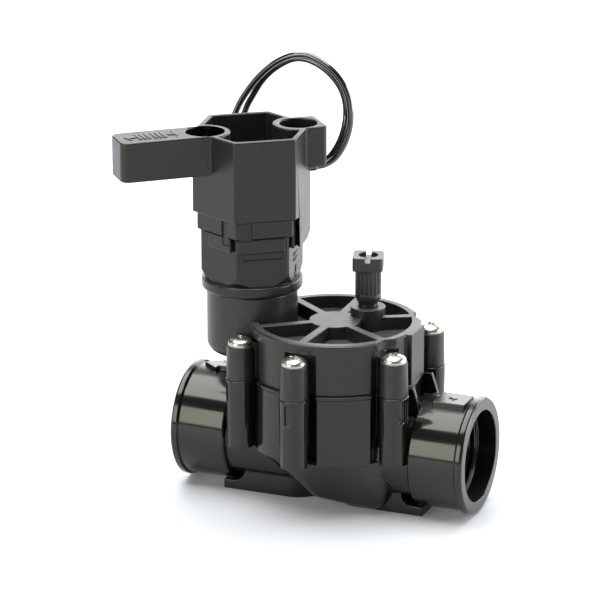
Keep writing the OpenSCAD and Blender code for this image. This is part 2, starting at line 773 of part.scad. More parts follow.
// The stripped end of a lead, past the last point of its route
module bare_end(route) {
    color("#b87443") translate(route[len(route) - 1]) along_x(0, bare_len, 0.65);
}

module bare_end_a() {
    bare_end(lead_a_route);
}

module bare_end_b() {
    bare_end(lead_b_route);
}

valve_body();
bonnet();
bonnet_screws();
diaphragm();
upper_plate();
lower_plate();
seat_disc();
guide_cage();
centre_bolt();
centre_nut();
metering_plug();
diaphragm_spring();
solenoid_housing();
solenoid_nose();
flux_frame();
bobbin();
coil_winding();
guide_tube();
pole_piece();
plunger();
plunger_spring();
plunger_seal();
solenoid_o_ring();
handle_cap();
lead_grommet();
bleed_screw();
bleed_o_ring();
lead_a();
lead_b();
bare_end_a();
bare_end_b();
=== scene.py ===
# Irrigation solenoid valve: camera, leads, finishes, detailed pieces, floor and lights.
# Lengths are in metres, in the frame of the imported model, apart from the marks' outlines.
import json
import math

import bmesh
import bpy
from mathutils import Matrix, Vector


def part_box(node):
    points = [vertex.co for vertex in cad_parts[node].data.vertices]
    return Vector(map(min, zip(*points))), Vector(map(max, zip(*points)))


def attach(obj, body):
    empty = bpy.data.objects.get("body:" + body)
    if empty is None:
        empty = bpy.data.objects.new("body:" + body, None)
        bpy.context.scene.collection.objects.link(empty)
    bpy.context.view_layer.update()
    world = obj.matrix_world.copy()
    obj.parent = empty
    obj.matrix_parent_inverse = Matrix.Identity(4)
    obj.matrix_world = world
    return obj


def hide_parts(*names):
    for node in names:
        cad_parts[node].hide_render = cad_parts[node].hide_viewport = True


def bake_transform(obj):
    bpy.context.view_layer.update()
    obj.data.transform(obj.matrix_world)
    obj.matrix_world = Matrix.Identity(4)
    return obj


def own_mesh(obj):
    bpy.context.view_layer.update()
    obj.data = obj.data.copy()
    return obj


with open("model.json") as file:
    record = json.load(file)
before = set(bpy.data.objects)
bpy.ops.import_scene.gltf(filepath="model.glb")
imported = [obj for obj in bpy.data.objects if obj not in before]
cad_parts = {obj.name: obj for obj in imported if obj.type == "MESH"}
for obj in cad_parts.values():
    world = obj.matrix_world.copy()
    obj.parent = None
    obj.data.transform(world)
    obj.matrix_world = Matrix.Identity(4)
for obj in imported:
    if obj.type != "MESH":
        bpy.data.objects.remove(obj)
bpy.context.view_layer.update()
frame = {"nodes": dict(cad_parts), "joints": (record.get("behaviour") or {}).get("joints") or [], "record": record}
scene = bpy.context.scene
nodes = frame["nodes"]
joints = {joint["name"]: joint for joint in frame["joints"]}
mm = 0.001

towerAxis = Vector(joints["solenoid_turn"]["pos_m"])
leverTurn = math.radians(-138.5)  # the lever's direction about the tower
hexTurn = math.radians(-5)  # the handle's hexagon stands turned from its lever


def atTower(x, y, z):
    # a place given from the tower's axis, with x along the lever
    turned = Matrix.Rotation(leverTurn, 3, "Z") @ Vector((x, y, 0))
    return Vector((towerAxis.x + turned.x, towerAxis.y + turned.y, z))


# camera

cameraSet = {
    "azimuth": 22.3, "elevation": 18.05, "distance": 1.2644,
    "aim": (-0.01172, 0, 0.07005), "lens": 206.56, "sensor": 36,
}


def addCamera(c):
    azimuth, elevation = math.radians(c["azimuth"]), math.radians(c["elevation"])
    back = Vector((math.sin(azimuth) * math.cos(elevation),
                   -math.cos(azimuth) * math.cos(elevation), math.sin(elevation)))
    camera = bpy.data.cameras.new("camera")
    camera.lens, camera.sensor_width = c["lens"], c["sensor"]
    camera.clip_start, camera.clip_end = 0.05, 30
    holder = bpy.data.objects.new("camera", camera)
    holder.location = Vector(c["aim"]) + back * c["distance"]
    holder.rotation_euler = (-back).to_track_quat("-Z", "Y").to_euler()
    scene.collection.objects.link(holder)
    scene.camera = holder


addCamera(cameraSet)
print("camera placed")


# leads: each route's points are those of the CAD model, in metres

leadSet = {"diameter": 2.4 * mm, "sides": 20, "step": 0.8 * mm}
bareSet = {"length": 6 * mm, "radius": 0.19 * mm, "spacing": 2.05, "turns": 1.2, "flare": 0.25,
           "outer": 6, "steps": 24, "sides": 8}

leadARoute = [
    (-0.0133, 0.0151, 0.118), (-0.0109, 0.0172, 0.1184), (-0.0082, 0.0193, 0.1202),
    (-0.0059, 0.0211, 0.1239), (-0.0044, 0.0226, 0.1285), (-0.0037, 0.0236, 0.1335),
    (-0.0041, 0.024, 0.1395), (-0.0058, 0.024, 0.1453), (-0.0096, 0.024, 0.1505),
    (-0.0149, 0.024, 0.1543), (-0.0209, 0.024, 0.1565), (-0.0272, 0.024, 0.1556),
    (-0.0336, 0.024, 0.1522), (-0.0396, 0.024, 0.1467), (-0.0447, 0.024, 0.1401),
    (-0.0486, 0.024, 0.1332), (-0.0513, 0.0246, 0.124), (-0.052, 0.028, 0.099),
    (-0.0515, 0.031, 0.071), (-0.0505, 0.033, 0.043), (-0.046, 0.0365, 0.0185),
    (-0.0395, 0.0385, 0.0085), (-0.031, 0.0397, 0.0032), (-0.022, 0.04, 0.0013),
    (-0.004, 0.04, 0.0013), (0.014, 0.04, 0.0013), (0.0211, 0.0429, 0.0013),
    (0.024, 0.05, 0.0013), (0.0211, 0.0571, 0.0013), (0.014, 0.06, 0.0013),
    (-0.003, 0.06, 0.0013), (-0.02, 0.06, 0.0013), (-0.0252, 0.0621, 0.0013),
    (-0.0273, 0.0673, 0.0013), (-0.0252, 0.0725, 0.0013), (-0.02, 0.0746, 0.0013),
    (0, 0.0746, 0.0013), (0.022, 0.0746, 0.0013)]
leadBRoute = [
    (-0.0151, 0.01715, 0.118), (-0.01275, 0.0192, 0.1186), (-0.0104, 0.0212, 0.1206),
    (-0.0085, 0.023, 0.124), (-0.0071, 0.0246, 0.1283), (-0.0065, 0.026, 0.1332),
    (-0.0068, 0.0267, 0.139), (-0.0085, 0.0267, 0.1443), (-0.0122, 0.0267, 0.149),
    (-0.0172, 0.0267, 0.1525), (-0.0228, 0.0267, 0.1542), (-0.028, 0.0267, 0.1535),
    (-0.034, 0.0267, 0.15), (-0.039, 0.0267, 0.1452), (-0.043, 0.0267, 0.139),
    (-0.0462, 0.0267, 0.1328), (-0.049, 0.0273, 0.123), (-0.05, 0.0307, 0.0985),
    (-0.05, 0.0337, 0.0705), (-0.049, 0.0357, 0.0425), (-0.045, 0.0392, 0.019),
    (-0.039, 0.0412, 0.009), (-0.031, 0.0424, 0.0033), (-0.022, 0.0427, 0.0013),
    (-0.004, 0.0427, 0.0013), (0.014, 0.0427, 0.0013), (0.0192, 0.0448, 0.0013),
    (0.0213, 0.05, 0.0013), (0.0192, 0.0552, 0.0013), (0.014, 0.0573, 0.0013),
    (-0.003, 0.0573, 0.0013), (-0.02, 0.0573, 0.0013), (-0.0271, 0.0602, 0.0013),
    (-0.03, 0.0673, 0.0013), (-0.0271, 0.0744, 0.0013), (-0.02, 0.0773, 0.0013),
    (0, 0.0773, 0.0013), (0.022, 0.0773, 0.0013)]


def smoothPath(points, step):
    points = [Vector(p) for p in points]
    path = []
    for i in range(len(points) - 1):
        a, b = points[max(i - 1, 0)], points[i]
        c, d = points[i + 1], points[min(i + 2, len(points) - 1)]
        count = max(2, round((c - b).length / step))
        for k in range(count):
            t = k / count
            path.append(0.5 * (2 * b + (c - a) * t + (2 * a - 5 * b + 4 * c - d) * t * t
                               + (3 * b - a - 3 * c + d) * t ** 3))
    return path + [points[-1]]


def sweep(work, path, radius, sides):
    tangents = [(path[min(i + 1, len(path) - 1)] - path[max(i - 1, 0)]).normalized()
                for i in range(len(path))]
    across = tangents[0].orthogonal().normalized()
    rings = []
    for point, tangent in zip(path, tangents):
        across = (across - tangent * across.dot(tangent)).normalized()
        up = tangent.cross(across)
        angles = [2 * math.pi * k / sides for k in range(sides)]
        rings.append([work.verts.new(point + radius * (math.cos(a) * across + math.sin(a) * up))
                      for a in angles])
    for near, far in zip(rings, rings[1:]):
        for k in range(sides):
            j = (k + 1) % sides
            work.faces.new((near[k], near[j], far[j], far[k]))
    work.faces.new(rings[0][::-1])
    work.faces.new(rings[-1])


def namedMesh(name, work):
    mesh = bpy.data.meshes.new(name)
    work.to_mesh(mesh)
    work.free()
    return mesh


def asObject(name, work):
    bmesh.ops.recalc_face_normals(work, faces=work.faces)
    return meshObject(name, namedMesh(name, work))


def meshObject(name, mesh, smoothAngle=35):
    mesh.shade_smooth()
    mesh.set_sharp_from_angle(angle=math.radians(smoothAngle))
    piece = bpy.data.objects.new(name, mesh)
    scene.collection.objects.link(piece)
    return piece


def addBareEnd(name, node, start, b):
    # the outer strands lie round a middle one, and open out towards the end
    work = bmesh.new()
    for k in range(b["outer"] + 1):
        ring = 0 if k == b["outer"] else b["spacing"] * b["radius"]
        strand = []
        for i in range(b["steps"] + 1):
            t = i / b["steps"]
            angle = 2 * math.pi * (k / b["outer"] + b["turns"] * t)
            reach = ring * (1 + b["flare"] * t * t)
            strand.append(start + Vector((b["length"] * t, reach * math.cos(angle),
                                          reach * math.sin(angle))))
        sweep(work, strand, b["radius"], b["sides"])
    bare = asObject(name, work)
    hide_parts(node)
    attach(bare, "valve")
    return bare


def addLead(name, node, bareName, bareNode, route):
    path = smoothPath(route, leadSet["step"])
    work = bmesh.new()
    sweep(work, path, leadSet["diameter"] / 2, leadSet["sides"])
    lead = asObject(name, work)
    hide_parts(node)
    bare = addBareEnd(bareName, bareNode, path[-1], bareSet)
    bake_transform(lead)
    return lead, bare


leadA, bareA = addLead("leadA", "lead_a", "bareEndA", "bare_end_a", leadARoute)
leadB, bareB = addLead("leadB", "lead_b", "bareEndB", "bare_end_b", leadBRoute)
print("leads laid")


# finishes

def groupSockets(tree, inputs, outputs):
    for name, kind, value in inputs:
        socket = tree.interface.new_socket(name=name, in_out="INPUT", socket_type=kind)
        if value is not None:
            socket.default_value = value
    for name, kind in outputs:
        tree.interface.new_socket(name=name, in_out="OUTPUT", socket_type=kind)
    return tree.nodes.new("NodeGroupInput"), tree.nodes.new("NodeGroupOutput")


def mathNode(tree, operation, first, second=None, clamp=False):
    node = tree.nodes.new("ShaderNodeMath")
    node.operation, node.use_clamp = operation, clamp
    for index, value in enumerate((first, second)):
        if value is None:
            continue
        if isinstance(value, (int, float)):
            node.inputs[index].default_value = value
        else:
            tree.links.new(value, node.inputs[index])
    return node.outputs[0]


def rangeNode(tree, value, fromLow, fromHigh, toLow, toHigh):
    node = tree.nodes.new("ShaderNodeMapRange")
    tree.links.new(value, node.inputs["Value"])
    for name, number in (("From Min", fromLow), ("From Max", fromHigh),
                         ("To Min", toLow), ("To Max", toHigh)):
        node.inputs[name].default_value = number
    return node.outputs["Result"]


skinSet = {
    "upFrom": 0.8, "upTo": 0.97,  # how far a face looks up before it counts as a top
    "grainDetail": 3, "grainHeight": 0.35, "pitScale": 1500,
    "flowScale": 60, "flowDetail": 2, "flowRough": 0.035,
    # painted light: how much lighter the faces that look up are painted, as if lit from above
    "paintedTopLight": 0.65, "speckFrom": 0.35, "speckTo": 0.75, "speckLight": 0.35,
}


def makeMouldedSkin(s):
    # fine grain all over, coarser on faces that look up, with slight flow marks and dust, and faces that look up
    # painted lighter as painted light from above
    tree = bpy.data.node_groups.new("mouldedSkin", "ShaderNodeTree")
    source, result = groupSockets(
        tree,
        [("Place", "NodeSocketVector", None), ("Facing", "NodeSocketVector", None),
         ("Grain Size", "NodeSocketFloat", 2600.0), ("Rough", "NodeSocketFloat", 0.35),
         ("Rough Top", "NodeSocketFloat", 0.5),
         ("Dark", "NodeSocketColor", (0.02, 0.02, 0.02, 1)),
         ("Light", "NodeSocketColor", (0.05, 0.05, 0.05, 1))],
        [("Color", "NodeSocketColor"), ("Roughness", "NodeSocketFloat"),
         ("Height", "NodeSocketFloat")])
    place = source.outputs["Place"]
    parts = tree.nodes.new("ShaderNodeSeparateXYZ")
    tree.links.new(source.outputs["Facing"], parts.inputs[0])
    up = rangeNode(tree, parts.outputs["Z"], s["upFrom"], s["upTo"], 0, 1)
    grain = tree.nodes.new("ShaderNodeTexNoise")
    tree.links.new(place, grain.inputs["Vector"])
    tree.links.new(source.outputs["Grain Size"], grain.inputs["Scale"])
    grain.inputs["Detail"].default_value = s["grainDetail"]
    pits = tree.nodes.new("ShaderNodeTexVoronoi")
    tree.links.new(place, pits.inputs["Vector"])
    pits.inputs["Scale"].default_value = s["pitScale"]
    flow = tree.nodes.new("ShaderNodeTexNoise")
    tree.links.new(place, flow.inputs["Vector"])
    flow.inputs["Scale"].default_value = s["flowScale"]
    flow.inputs["Detail"].default_value = s["flowDetail"]
    coarse = mathNode(tree, "MULTIPLY", pits.outputs["Distance"], up)
    fine = mathNode(tree, "MULTIPLY", grain.outputs["Fac"], s["grainHeight"])
    tree.links.new(mathNode(tree, "ADD", fine, coarse), result.inputs["Height"])
    mixed = tree.nodes.new("ShaderNodeMix")
    tree.links.new(up, mixed.inputs[0])
    tree.links.new(source.outputs["Rough"], mixed.inputs[2])
    tree.links.new(source.outputs["Rough Top"], mixed.inputs[3])
    patch = rangeNode(tree, flow.outputs["Fac"], 0.3, 0.7, -s["flowRough"], s["flowRough"])
    tree.links.new(mathNode(tree, "ADD", mixed.outputs[0], patch), result.inputs["Roughness"])
    speck = rangeNode(tree, grain.outputs["Fac"], s["speckFrom"], s["speckTo"], 0, s["speckLight"])
    # painted light: faces that look up take the lighter colour as if lit from above, and the specks add random
    # lighter grain
    share = mathNode(tree, "ADD", mathNode(tree, "MULTIPLY", up, s["paintedTopLight"]), speck, clamp=True)
    tint = tree.nodes.new("ShaderNodeMix")
    tint.data_type = "RGBA"
    tree.links.new(share, tint.inputs[0])
    tree.links.new(source.outputs["Dark"], tint.inputs[6])
    tree.links.new(source.outputs["Light"], tint.inputs[7])
    tree.links.new(tint.outputs[2], result.inputs["Color"])
    return tree


mouldedSkin = makeMouldedSkin(skinSet)
skinTint = (0.97, 1.0, 0.91, 1)  # of every moulding's reflections


def newMaterial(name):
    # a material with its tree, its shader and the coordinates of its pieces
    material = bpy.data.materials.new(name)
    material.use_nodes = True
    tree = material.node_tree
    shader = tree.nodes["Principled BSDF"]
    place = tree.nodes.new("ShaderNodeTexCoord")
    return material, tree, shader, place


def addBump(tree, shader, height, strength, distance):
    bump = tree.nodes.new("ShaderNodeBump")
    bump.inputs["Strength"].default_value = strength
    bump.inputs["Distance"].default_value = distance
    tree.links.new(height, bump.inputs["Height"])
    tree.links.new(bump.outputs["Normal"], shader.inputs["Normal"])


def mouldedPlastic(name, dark, light, rough, roughTop, grain, bump, specular):
    material, tree, shader, place = newMaterial(name)
    skin = tree.nodes.new("ShaderNodeGroup")
    skin.node_tree = mouldedSkin
    tree.links.new(place.outputs["Object"], skin.inputs["Place"])
    tree.links.new(place.outputs["Normal"], skin.inputs["Facing"])
    skin.inputs["Grain Size"].default_value = grain
    skin.inputs["Rough"].default_value = rough
    skin.inputs["Rough Top"].default_value = roughTop
    skin.inputs["Dark"].default_value = (*dark, 1)
    skin.inputs["Light"].default_value = (*light, 1)
    tree.links.new(skin.outputs["Color"], shader.inputs["Base Color"])
    tree.links.new(skin.outputs["Roughness"], shader.inputs["Roughness"])
    shader.inputs["Specular IOR Level"].default_value = specular
    shader.inputs["Specular Tint"].default_value = skinTint
    addBump(tree, shader, skin.outputs["Height"], bump, 0.00012)
    return material


def metal(name, colour, rough, brush, spread=0.1, bump=0.12):
    # brush is the scale of the tool marks along X, Y and Z
    material, tree, shader, place = newMaterial(name)
    shift = tree.nodes.new("ShaderNodeMapping")
    shift.inputs["Scale"].default_value = brush
    tree.links.new(place.outputs["Object"], shift.inputs["Vector"])
    lines = tree.nodes.new("ShaderNodeTexNoise")
    lines.inputs["Scale"].default_value = 1.0
    lines.inputs["Detail"].default_value = 4
    tree.links.new(shift.outputs["Vector"], lines.inputs["Vector"])
    ramp = tree.nodes.new("ShaderNodeValToRGB")
    ramp.color_ramp.elements[0].color = (*[c * 0.82 for c in colour], 1)
    ramp.color_ramp.elements[1].color = (*colour, 1)
    tree.links.new(lines.outputs["Fac"], ramp.inputs["Fac"])
    tree.links.new(ramp.outputs["Color"], shader.inputs["Base Color"])
    tree.links.new(rangeNode(tree, lines.outputs["Fac"], 0.3, 0.7, rough, rough + spread),
                   shader.inputs["Roughness"])
    shader.inputs["Metallic"].default_value = 1.0
    addBump(tree, shader, lines.outputs["Fac"], bump, 0.00004)
    return material


def plain(name, dark, light, rough, scale, bump, specular=0.5, coat=0.0):
    # rubber, nylon and insulation: fine mottling in colour, gloss and height
    material, tree, shader, place = newMaterial(name)
    mottle = tree.nodes.new("ShaderNodeTexNoise")
    mottle.inputs["Scale"].default_value = scale
    mottle.inputs["Detail"].default_value = 5
    tree.links.new(place.outputs["Object"], mottle.inputs["Vector"])
    ramp = tree.nodes.new("ShaderNodeValToRGB")
    ramp.color_ramp.elements[0].position = 0.3
    ramp.color_ramp.elements[1].position = 0.7
    ramp.color_ramp.elements[0].color = (*dark, 1)
    ramp.color_ramp.elements[1].color = (*light, 1)
    tree.links.new(mottle.outputs["Fac"], ramp.inputs["Fac"])
    tree.links.new(ramp.outputs["Color"], shader.inputs["Base Color"])
    tree.links.new(rangeNode(tree, mottle.outputs["Fac"], 0.3, 0.7, rough - 0.04, rough + 0.06),
                   shader.inputs["Roughness"])
    shader.inputs["Specular IOR Level"].default_value = specular
    shader.inputs["Coat Weight"].default_value = coat
    shader.inputs["Coat Roughness"].default_value = 0.05
    addBump(tree, shader, mottle.outputs["Fac"], bump, 0.00006)
    return material


def woundCopper(name):
    # one fine groove to each turn of the winding, stacked along Z
    material, tree, shader, place = newMaterial(name)
    turnsOfWire = tree.nodes.new("ShaderNodeTexWave")
    turnsOfWire.bands_direction = "Z"
    turnsOfWire.inputs["Scale"].default_value = 700
    turnsOfWire.inputs["Distortion"].default_value = 0.6
    tree.links.new(place.outputs["Object"], turnsOfWire.inputs["Vector"])
    ramp = tree.nodes.new("ShaderNodeValToRGB")
    ramp.color_ramp.elements[0].color = (0.2, 0.06, 0.02, 1)
    ramp.color_ramp.elements[1].color = (0.62, 0.26, 0.1, 1)
    tree.links.new(turnsOfWire.outputs["Fac"], ramp.inputs["Fac"])
    tree.links.new(ramp.outputs["Color"], shader.inputs["Base Color"])
    shader.inputs["Metallic"].default_value = 0.85
    shader.inputs["Roughness"].default_value = 0.3
    addBump(tree, shader, turnsOfWire.outputs["Fac"], 0.5, 0.00008)
    return material


# the light colour shows mostly on faces that look up, as painted light from above, and in the random specks
mouldedFinishes = {
    "moulded_body": {
        "name": "bodyMoulding", "dark": (0.0045, 0.005, 0.0038), "light": (0.009, 0.01, 0.008),
        "rough": 0.13, "roughTop": 0.26, "grain": 1800, "bump": 0.08, "specular": 0.5},
    "moulded_bonnet": {
        "name": "bonnetMoulding", "dark": (0.006, 0.0068, 0.0052), "light": (0.055, 0.059, 0.055),
        "rough": 0.33, "roughTop": 0.5, "grain": 2400, "bump": 0.3, "specular": 0.46},
    "moulded_solenoid": {
        "name": "housingMoulding", "dark": (0.0055, 0.006, 0.0045), "light": (0.014, 0.015, 0.013),
        "rough": 0.26, "roughTop": 0.42, "grain": 2400, "bump": 0.2, "specular": 0.42},
    "moulded_handle": {
        "name": "handleMoulding", "dark": (0.006, 0.0068, 0.0052), "light": (0.036, 0.039, 0.036),
        "rough": 0.28, "roughTop": 0.5, "grain": 2400, "bump": 0.24, "specular": 0.4},
    "moulded_bleed": {
        "name": "bleedMoulding", "dark": (0.006, 0.0068, 0.0055), "light": (0.04, 0.043, 0.041),
        "rough": 0.33, "roughTop": 0.45, "grain": 2400, "bump": 0.2, "specular": 0.5},
}
metalFinishes = {
    "screw_steel": {
        "name": "platedSteel", "colour": (0.5, 0.49, 0.44), "rough": 0.24,
        "brush": (500, 500, 500), "spread": 0.12, "bump": 0.3},
    "stainless": {
        "name": "turnedSteel", "colour": (0.62, 0.61, 0.6), "rough": 0.24,
        "brush": (60, 60, 2600)},
    "spring_steel": {
        "name": "springWire", "colour": (0.6, 0.6, 0.58), "rough": 0.25,
        "brush": (700, 700, 700)},
    "frame_steel": {
        "name": "frameSteel", "colour": (0.44, 0.45, 0.46), "rough": 0.38,
        "brush": (400, 400, 60)},
    "bare_copper": {
        "name": "copperStrand", "colour": (0.86, 0.45, 0.26), "rough": 0.22,
        "brush": (900, 900, 900)},
}
plainFinishes = {
    "rubber": {
        "name": "mouldedRubber", "dark": (0.008, 0.008, 0.008), "light": (0.016, 0.016, 0.016),
        "rough": 0.6, "scale": 900, "bump": 0.35},
    "plate_plastic": {
        "name": "plateMoulding", "dark": (0.035, 0.037, 0.04), "light": (0.06, 0.062, 0.066),
        "rough": 0.42, "scale": 1200, "bump": 0.25},
    "acetal": {
        "name": "whiteMoulding", "dark": (0.62, 0.6, 0.54), "light": (0.76, 0.74, 0.68),
        "rough": 0.34, "scale": 700, "bump": 0.15},
    "bobbin_plastic": {
        "name": "bobbinNylon", "dark": (0.42, 0.33, 0.18), "light": (0.6, 0.5, 0.3),
        "rough": 0.45, "scale": 800, "bump": 0.2},
    "lead_insulation": {
        "name": "leadInsulation", "dark": (0.004, 0.004, 0.004), "light": (0.009, 0.009, 0.008),
        "rough": 0.12, "scale": 260, "bump": 0.08, "specular": 0.7, "coat": 1.0},
}
finishes = {"copper_winding": woundCopper("copperWinding")}
for make, chosen in ((mouldedPlastic, mouldedFinishes), (metal, metalFinishes),
                     (plain, plainFinishes)):
    for slotName, values in chosen.items():
        finishes[slotName] = make(**values)
slotOf = {part["node"]: part["material_slot"] for part in frame["record"]["subparts"]}


def paint(piece, slotName):
    piece.data.materials.clear()
    piece.data.materials.append(finishes[slotName])


for nodeName, node in nodes.items():
    finish = finishes[slotOf[nodeName]]
    if node.material_slots:
        for slot in node.material_slots:
            slot.material = finish
    else:
        node.data.materials.append(finish)
for lead in (leadA, leadB):
    paint(lead, "lead_insulation")
for bare in (bareA, bareB):
    paint(bare, "bare_copper")
print("finishes made")


# mouldings: copies of the CAD shapes with their edges rounded

mouldings = {
    "valveBody": {"node": "valve_body", "body": "valve", "edge": 0.35 * mm, "segments": 3},
    "bonnetMoulding": {"node": "bonnet", "body": "valve", "edge": 0.3 * mm, "segments": 3},
    "solenoidHousing": {"node": "solenoid_housing", "body": "solenoid", "edge": 0.3 * mm,
                        "segments": 3},
    "handleCap": {"node": "handle_cap", "body": "solenoid", "edge": 0.55 * mm, "segments": 4},
    "bleedScrew": {"node": "bleed_screw", "body": "bleed_screw", "edge": 0.22 * mm,
                   "segments": 3},
    "leadGrommet": {"node": "lead_grommet", "body": "solenoid", "edge": 0.3 * mm,
                    "segments": 3},
}
roundingSet = {"sharpAngle": 38, "flatAngle": 0.4, "faceShare": 0.36, "least": 0.05 * mm,
               "merge": 0.002 * mm}


def bakeModifiers(piece):
    evaluated = piece.evaluated_get(bpy.context.evaluated_depsgraph_get())
    mesh = bpy.data.meshes.new_from_object(evaluated)
    piece.modifiers.clear()
    piece.data = mesh


def bakeAndSmooth(piece, smoothAngle=35):
    bakeModifiers(piece)
    piece.data.shade_smooth()
    piece.data.set_sharp_from_angle(angle=math.radians(smoothAngle))


def levelNormals(piece):
    # large flats keep their own shading beside the rounded edges
    level = piece.modifiers.new("level", "WEIGHTED_NORMAL")
    level.keep_sharp = True
    bakeModifiers(piece)


def mergedCopy(nodeName, gap):
    # a CAD node's mesh is loose triangles, so the copy's corners are joined first
    work = bmesh.new()
    work.from_mesh(nodes[nodeName].data)
    bmesh.ops.remove_doubles(work, verts=work.verts, dist=gap)
    return work


def spanFrom(edge, face):
    # how far a face reaches from one of its edges
    start = edge.verts[0].co
    along = (edge.verts[1].co - start).normalized()
    return max((v.co - start - along * (v.co - start).dot(along)).length for v in face.verts)


def markEdges(work, width, r):
    # each edge is rounded by the width, or by less beside a narrow face
    weights = work.edges.layers.float.new("bevel_weight_edge")
    sharp = math.radians(r["sharpAngle"])
    for edge in work.edges:
        if len(edge.link_faces) != 2 or edge.calc_face_angle(0) < sharp:
            continue
        room = r["faceShare"] * min(spanFrom(edge, face) for face in edge.link_faces)
        if room > r["least"]:
            edge[weights] = min(1.0, room / width)


def addMoulding(name, m):
    work = mergedCopy(m["node"], roundingSet["merge"])
    bmesh.ops.dissolve_limit(work, angle_limit=math.radians(roundingSet["flatAngle"]),
                             verts=work.verts, edges=work.edges, use_dissolve_boundaries=False)
    markEdges(work, m["edge"], roundingSet)
    piece = meshObject(name, namedMesh(name, work))
    bevel = piece.modifiers.new("edge", "BEVEL")
    bevel.width, bevel.segments = m["edge"], m["segments"]
    bevel.limit_method, bevel.use_clamp_overlap = "WEIGHT", False
    bevel.miter_outer = "MITER_ARC"
    bakeAndSmooth(piece)
    levelNormals(piece)
    paint(piece, slotOf[m["node"]])
    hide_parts(m["node"])
    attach(piece, m["body"])


for name, moulding in mouldings.items():
    addMoulding(name, moulding)
print("mouldings rounded")


# springs: copies of the CAD springs, each on its body, with a mesh of its own

springs = {
    "diaphragmSpring": {"node": "diaphragm_spring", "body": "valve", "joint": "diaphragm_lift",
                        "fixedEnd": 58.9 * mm},
    "plungerSpring": {"node": "plunger_spring", "body": "solenoid", "joint": "plunger_lift",
                      "fixedEnd": 101 * mm},
}


def addSpring(name, s):
    work = mergedCopy(s["node"], 0.001 * mm)
    piece = meshObject(name, namedMesh(name, work), 50)
    paint(piece, slotOf[s["node"]])
    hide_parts(s["node"])
    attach(piece, s["body"])
    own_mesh(piece)


for name, spring in springs.items():
    addSpring(name, spring)
print("springs coiled")


# screws: one head and shank, set out over the six bosses by a node tree

screwSet = {
    "circle": 35.3 * mm, "angles": (32, 92.5, 142.4, -142.4, -92.5, -32),
    "headRadius": 4.5 * mm, "headHeight": 3.1 * mm, "rim": 0.7 * mm, "corner": 0.15 * mm,
    "shankRadius": 2.25 * mm, "tipTaper": 0.5 * mm, "tipLength": 0.6 * mm,
    "recess": 1.9 * mm, "recessWidth": 1.2 * mm, "recessLength": 5 * mm, "recessTaper": 0.45,
    "recessTop": 1 * mm, "softEdge": 0.08 * mm, "domeSteps": 14, "sides": 64, "seed": 4,
}


def lathe(profile, sides):
    # a closed surface round Z, from points given as (radius, height)
    work = bmesh.new()
    rings = []
    for radius, height in profile:
        if radius < 1e-9:
            rings.append([work.verts.new((0, 0, height))])
            continue
        rings.append([work.verts.new((radius * math.cos(2 * math.pi * k / sides),
                                      radius * math.sin(2 * math.pi * k / sides), height))
                      for k in range(sides)])
    for low, high in zip(rings, rings[1:]):
        for k in range(sides):
            j = (k + 1) % sides
            if len(low) == 1:
                work.faces.new((low[0], high[j], high[k]))
            elif len(high) == 1:
                work.faces.new((low[k], low[j], high[0]))
            else:
                work.faces.new((low[k], low[j], high[j], high[k]))
    return work


def screwProfile(s, tip, seat):
    radius, rim, corner = s["headRadius"], s["rim"], s["corner"]
    profile = [(0, tip), (s["shankRadius"] - s["tipTaper"], tip),
               (s["shankRadius"], tip + s["tipLength"]), (s["shankRadius"], seat),
               (radius - corner, seat), (radius, seat + corner), (radius, seat + rim)]
    for i in range(1, s["domeSteps"]):
        a = math.pi / 2 * i / s["domeSteps"]
        profile.append((radius * math.cos(a),
                        seat + rim + (s["headHeight"] - rim) * math.sin(a)))
    return profile + [(0, seat + s["headHeight"])]


def crossRecess(s, top):
    # two crossed wedges, to be cut out of the head
    cutter = bmesh.new()
    for turn in (0, math.pi / 2):
        for v in bmesh.ops.create_cube(cutter, size=1)["verts"]:
            taper, z = (1, top + s["recessTop"]) if v.co.z > 0 else (
                s["recessTaper"], top - s["recess"])
            place = Vector((v.co.x * s["recessLength"] * taper, v.co.y * s["recessWidth"], z))
            v.co = Matrix.Rotation(turn, 3, "Z") @ place
    return asObject("screwRecess", cutter)


def makeScrewMesh(s):
    low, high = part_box("bonnet_screws")
    profile = screwProfile(s, low.z, high.z - s["headHeight"])
    head = asObject("screwHead", lathe(profile, s["sides"]))
    recess = crossRecess(s, high.z)
    cut = head.modifiers.new("recess", "BOOLEAN")
    cut.operation, cut.object, cut.solver = "DIFFERENCE", recess, "EXACT"
    cut.use_self = True
    soften = head.modifiers.new("edge", "BEVEL")
    soften.width, soften.segments = s["softEdge"], 2
    soften.limit_method, soften.angle_limit = "ANGLE", math.radians(40)
    bakeAndSmooth(head)
    bpy.data.objects.remove(recess)
    return head


